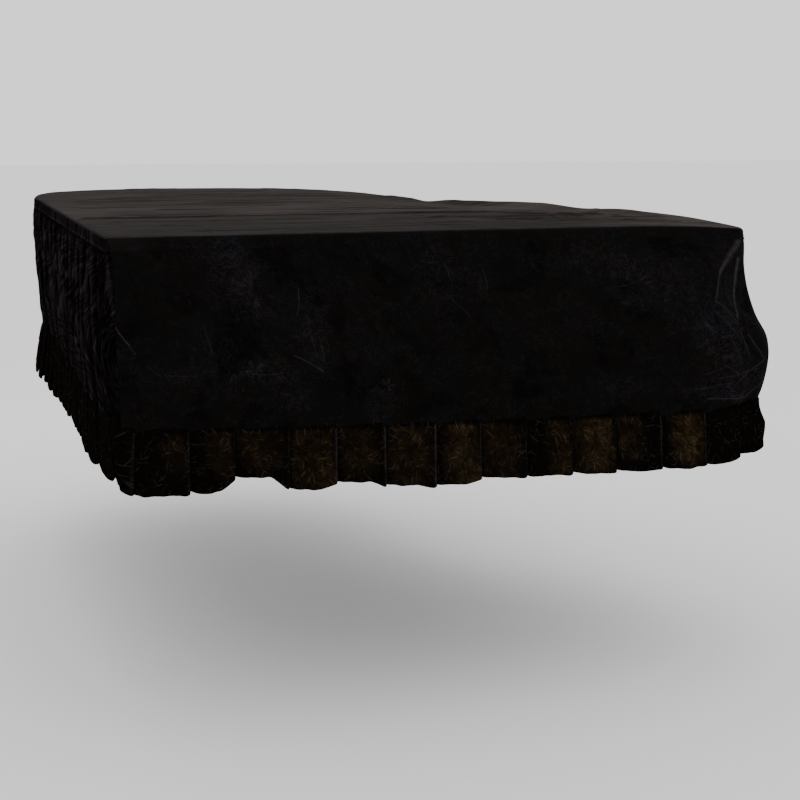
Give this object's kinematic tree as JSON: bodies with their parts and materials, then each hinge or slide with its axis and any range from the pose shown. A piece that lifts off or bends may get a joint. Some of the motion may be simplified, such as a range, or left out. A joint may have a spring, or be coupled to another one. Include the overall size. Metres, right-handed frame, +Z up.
{
  "type": "grand piano cover",
  "caption": "Fitted velvet dust cover for a grand piano, with a flat top, a plain front drop, gathered sides and a pleated ruffle round its lower edge.",
  "frame": {"origin": "on the underside of the top, where it rests on the closed lid: middle of the lid's width, 0.75 m behind the lid's front edge", "axes": "+Z up, +Y from the keyboard end to the tail, +X to the right as seen from the keyboard end"},
  "size_m": [1.5779, 2.1007, 0.5282],
  "materials": {
    "velvet": "crushed velvet pile",
    "ruffle_velvet": "crushed velvet, single thin layer"
  },
  "bodies": {
    "root": {"top_and_front_drop": "velvet", "side_skirt": "velvet", "pleated_ruffle": "ruffle_velvet"}
  },
  "joints": []
}
